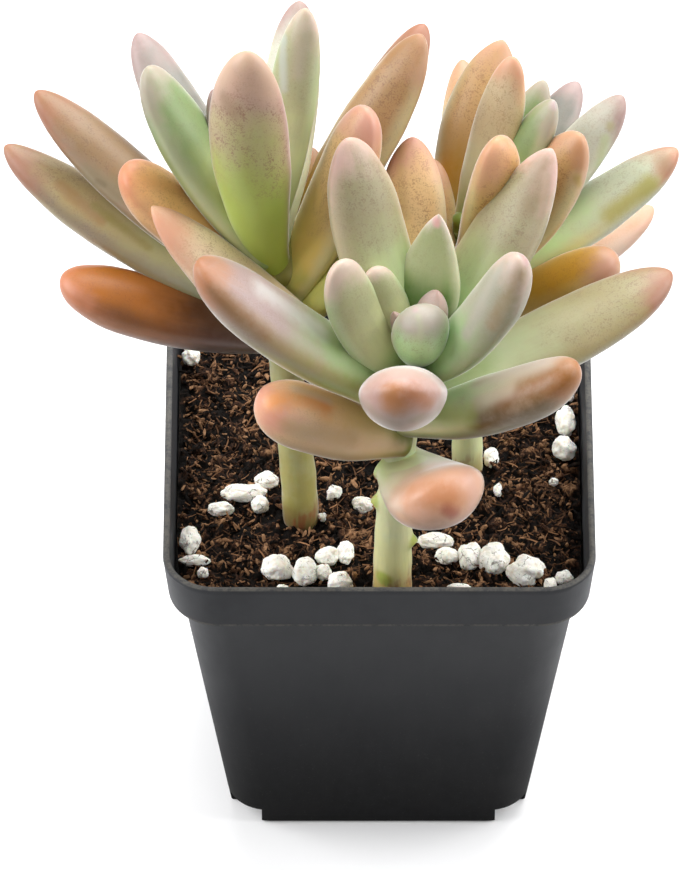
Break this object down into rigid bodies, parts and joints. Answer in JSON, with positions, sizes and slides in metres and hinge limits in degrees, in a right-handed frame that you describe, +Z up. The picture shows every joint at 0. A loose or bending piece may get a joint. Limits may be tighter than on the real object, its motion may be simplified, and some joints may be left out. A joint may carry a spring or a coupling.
{
  "type": "potted graptosedum",
  "caption": "Succulent with plump pointed leaves in loose rosettes on bare stems, rooted in peat with perlite in a small square nursery pot.",
  "frame": {"origin": "on the surface that the pot stands on, under the middle of the whole plant's overall box", "axes": "+Z up; the pot's sides lie along X and Y; -Y is the side with the front shoot"},
  "size_m": [0.1182, 0.0996, 0.1707],
  "materials": {
    "pot_plastic": "moulded charcoal plastic, satin, slightly dusty",
    "peat": "moist dark brown peat with fine fibres and white perlite grains",
    "stem_skin": "smooth pale green skin with a light waxy bloom, brown at the foot and at leaf scars",
    "leaf_skin": "fleshy skin under a powdery bloom, green at the root turning pink to orange at the tip"
  },
  "bodies": {
    "root": {"pot": "pot_plastic", "soil": "peat", "stem_left": "stem_skin", "stem_front": "stem_skin", "stem_right": "stem_skin", "leaf_left_01": "leaf_skin", "leaf_left_02": "leaf_skin", "leaf_left_03": "leaf_skin", "leaf_left_04": "leaf_skin", "leaf_left_05": "leaf_skin", "leaf_left_06": "leaf_skin", "leaf_left_07": "leaf_skin", "leaf_left_08": "leaf_skin", "leaf_left_09": "leaf_skin", "leaf_left_10": "leaf_skin", "leaf_left_11": "leaf_skin", "leaf_left_12": "leaf_skin", "leaf_left_13": "leaf_skin", "leaf_left_14": "leaf_skin", "leaf_left_15": "leaf_skin", "leaf_front_01": "leaf_skin", "leaf_front_02": "leaf_skin", "leaf_front_03": "leaf_skin", "leaf_front_04": "leaf_skin", "leaf_front_05": "leaf_skin", "leaf_front_06": "leaf_skin", "leaf_front_07": "leaf_skin", "leaf_front_08": "leaf_skin", "leaf_front_09": "leaf_skin", "leaf_front_10": "leaf_skin", "leaf_front_11": "leaf_skin", "leaf_front_12": "leaf_skin", "leaf_front_13": "leaf_skin", "leaf_front_14": "leaf_skin", "leaf_front_15": "leaf_skin", "leaf_front_16": "leaf_skin", "leaf_front_17": "leaf_skin", "leaf_front_18": "leaf_skin", "leaf_right_01": "leaf_skin", "leaf_right_02": "leaf_skin", "leaf_right_03": "leaf_skin", "leaf_right_04": "leaf_skin", "leaf_right_05": "leaf_skin", "leaf_right_06": "leaf_skin", "leaf_right_07": "leaf_skin", "leaf_right_08": "leaf_skin", "leaf_right_09": "leaf_skin", "leaf_right_10": "leaf_skin", "leaf_right_11": "leaf_skin", "leaf_right_12": "leaf_skin"}
  },
  "joints": []
}
